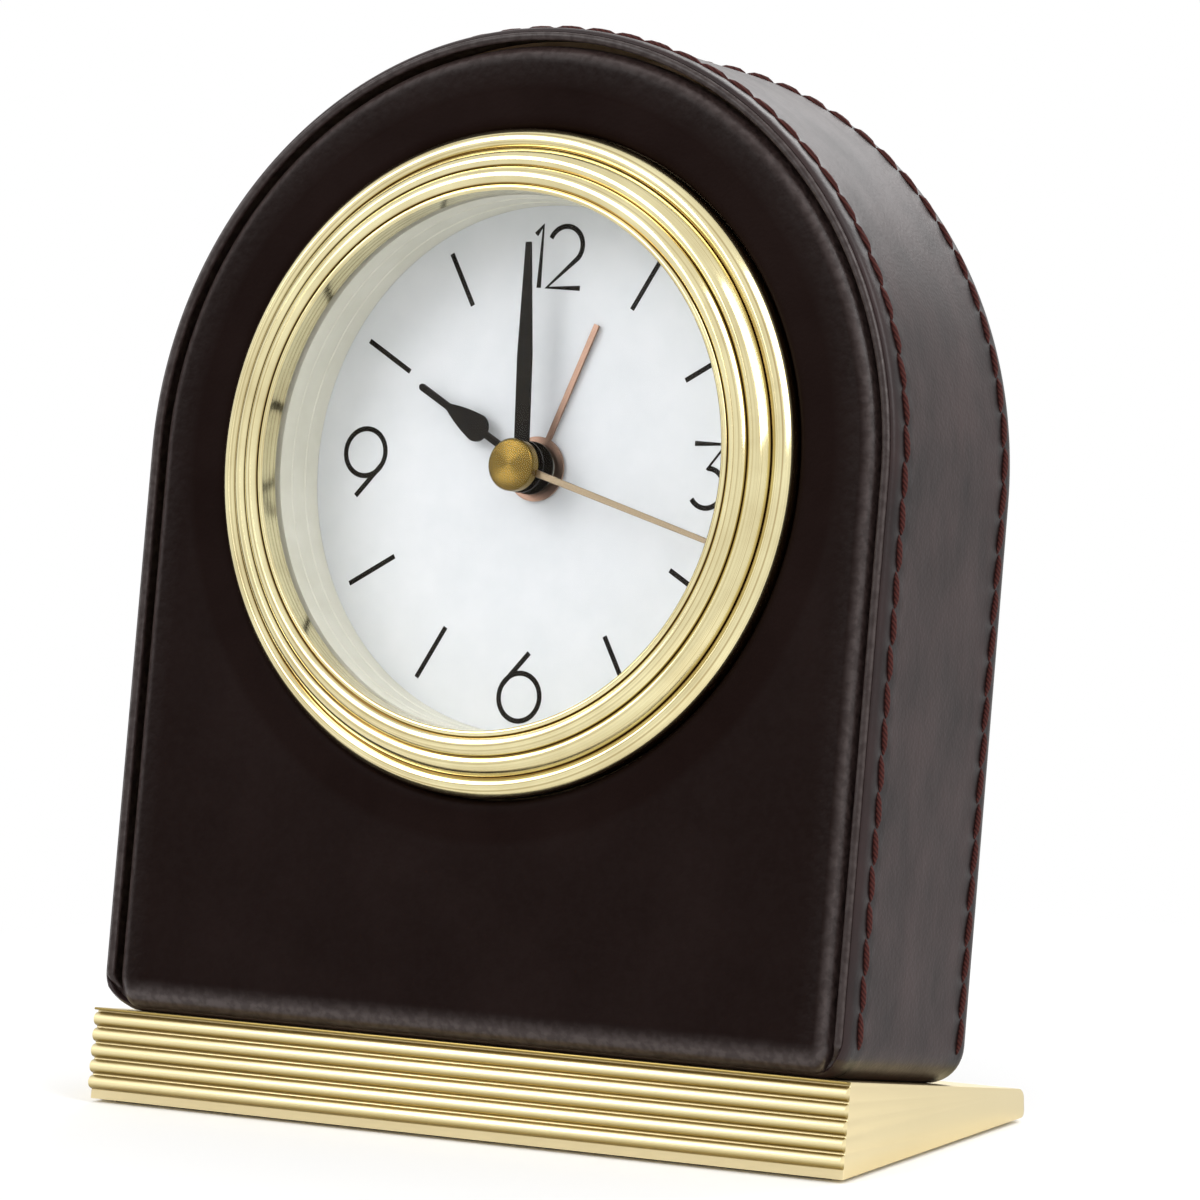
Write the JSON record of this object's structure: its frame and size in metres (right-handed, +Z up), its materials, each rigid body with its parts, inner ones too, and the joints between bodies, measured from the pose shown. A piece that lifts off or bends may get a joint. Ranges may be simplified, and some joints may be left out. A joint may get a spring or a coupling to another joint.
{
  "type": "desk alarm clock",
  "caption": "Arch-topped desk alarm clock in a leather-covered case with a reeded round bezel, leaning back on a ribbed wedge base, with hands, setting knobs and gear train.",
  "frame": {"origin": "Centre of the flat underside of the pad under the base, where the clock stands on a table", "axes": "+Z up from the table, +Y from the dial to the back of the clock, +X to the right as seen from the front; the case leans back 10.28 degrees from +Z towards +Y"},
  "size_m": [0.1032, 0.0521, 0.1271],
  "materials": {
    "base_gold": "satin gold anodised",
    "base_felt": "matt",
    "case_wood": "plain sawn",
    "case_leather": "smooth grain, low sheen",
    "case_board": "plain fibreboard",
    "case_foam": "soft",
    "bezel_gold": "polished",
    "lens_glass": "clear",
    "cup_ivory": "satin",
    "dial_white": "matt white",
    "hand_black": "satin black",
    "hand_copper": "satin",
    "hand_gold": "satin",
    "cap_brass": "spun",
    "gear_nylon": "moulded",
    "arbor_brass": "turned",
    "magnet_grey": "moulded",
    "frame_plastic": "moulded",
    "motor_iron": "stamped",
    "coil_copper": "enamelled wire",
    "board_green": "glass fibre board",
    "crystal_tin": "tinned",
    "contact_steel": "nickel plated",
    "cell_wrap": "plain wrap",
    "rear_plastic": "fine texture"
  },
  "bodies": {
    "case": {"base_plate": "base_gold", "base_pad": "base_felt", "case_core": "case_wood", "side_leather": "case_leather", "front_welt": "case_leather", "front_leather": "case_leather", "front_foam": "case_foam", "front_board": "case_board", "rear_board": "case_board", "rear_leather": "case_leather", "bezel_ring": "bezel_gold", "lens": "lens_glass", "insert_housing": "cup_ivory", "dial": "dial_white", "movement_front_plate": "frame_plastic", "movement_bridge": "frame_plastic", "stator": "motor_iron", "coil": "coil_copper", "circuit_board": "board_green", "quartz_crystal": "crystal_tin", "buzzer": "arbor_brass", "alarm_contact_spring": "contact_steel", "battery": "cell_wrap", "battery_plus_contact": "contact_steel", "battery_minus_spring": "contact_steel", "rear_cover": "rear_plastic"},
    "seconds": {"second_hand": "hand_gold", "second_cap": "cap_brass", "seconds_wheel": "gear_nylon"},
    "minutes": {"minute_hand": "hand_black", "cannon_pinion": "arbor_brass"},
    "hours": {"hour_hand": "hand_black", "hour_wheel": "gear_nylon"},
    "alarm_time": {"alarm_hand": "hand_copper", "alarm_wheel": "gear_nylon"},
    "minute_wheel": {"minute_wheel": "gear_nylon"},
    "centre_wheel": {"centre_wheel": "gear_nylon"},
    "third_wheel": {"third_wheel": "gear_nylon"},
    "intermediate_wheel": {"intermediate_wheel": "gear_nylon"},
    "rotor": {"rotor": "magnet_grey"},
    "time_setter": {"time_set_shaft": "gear_nylon", "time_set_knob": "rear_plastic"},
    "alarm_setter": {"alarm_set_shaft": "gear_nylon", "alarm_set_knob": "rear_plastic"},
    "battery_door": {"battery_door": "rear_plastic"},
    "alarm_switch": {"alarm_switch": "rear_plastic"}
  },
  "joints": [
    {"name": "minute_spin", "type": "hinge", "parent": "case", "child": "minutes", "pos_m": [0, 0.00273, 0.07531], "axis": [0, 0.9839, -0.1785], "continuous": true},
    {"name": "hour_spin", "type": "hinge", "parent": "case", "child": "hours", "pos_m": [0, 0.00273, 0.07531], "axis": [0, 0.9839, -0.1785], "continuous": true},
    {"name": "minute_wheel_spin", "type": "hinge", "parent": "case", "child": "minute_wheel", "pos_m": [0.006, 0.00273, 0.07531], "axis": [0, 0.9839, -0.1785], "continuous": true},
    {"name": "time_set_spin", "type": "hinge", "parent": "case", "child": "time_setter", "pos_m": [0.012, 0.00273, 0.07531], "axis": [0, 0.9839, -0.1785], "continuous": true},
    {"name": "second_spin", "type": "hinge", "parent": "case", "child": "seconds", "pos_m": [0, 0.00273, 0.07531], "axis": [0, 0.9839, -0.1785], "continuous": true},
    {"name": "intermediate_spin", "type": "hinge", "parent": "case", "child": "intermediate_wheel", "pos_m": [-0.00482, 0.00376, 0.08096], "axis": [0, 0.9839, -0.1785], "continuous": true},
    {"name": "rotor_spin", "type": "hinge", "parent": "case", "child": "rotor", "pos_m": [-0.00925, 0.0047, 0.08615], "axis": [0, 0.9839, -0.1785], "continuous": true},
    {"name": "third_spin", "type": "hinge", "parent": "case", "child": "third_wheel", "pos_m": [-0.00647, 0.00231, 0.07299], "axis": [0, 0.9839, -0.1785], "continuous": true},
    {"name": "centre_spin", "type": "hinge", "parent": "case", "child": "centre_wheel", "pos_m": [0, 0.00273, 0.07531], "axis": [0, 0.9839, -0.1785], "continuous": true},
    {"name": "alarm_spin", "type": "hinge", "parent": "case", "child": "alarm_time", "pos_m": [0, 0.00273, 0.07531], "axis": [0, 0.9839, -0.1785], "continuous": true},
    {"name": "alarm_set_spin", "type": "hinge", "parent": "case", "child": "alarm_setter", "pos_m": [0.00594, 0.00379, 0.08115], "axis": [0, 0.9839, -0.1785], "continuous": true},
    {"name": "alarm_switch_slide", "type": "slide", "parent": "case", "child": "alarm_switch", "axis": [-1, 0, 0], "range_m": [0, 0.004]},
    {"name": "battery_door_slide", "type": "slide", "parent": "case", "child": "battery_door", "axis": [0, 0.9839, -0.1785], "range_m": [0, 0.012]}
  ],
  "couplings": [
    {"joint": "hour_spin", "follows": "minute_spin", "ratio": 0.083333},
    {"joint": "minute_wheel_spin", "follows": "minute_spin", "ratio": -0.33333},
    {"joint": "time_set_spin", "follows": "minute_spin", "ratio": 1},
    {"joint": "intermediate_spin", "follows": "second_spin", "ratio": -4},
    {"joint": "rotor_spin", "follows": "second_spin", "ratio": 30},
    {"joint": "third_spin", "follows": "second_spin", "ratio": -0.13333},
    {"joint": "centre_spin", "follows": "second_spin", "ratio": 0.016667},
    {"joint": "alarm_set_spin", "follows": "alarm_spin", "ratio": -1.3333}
  ]
}
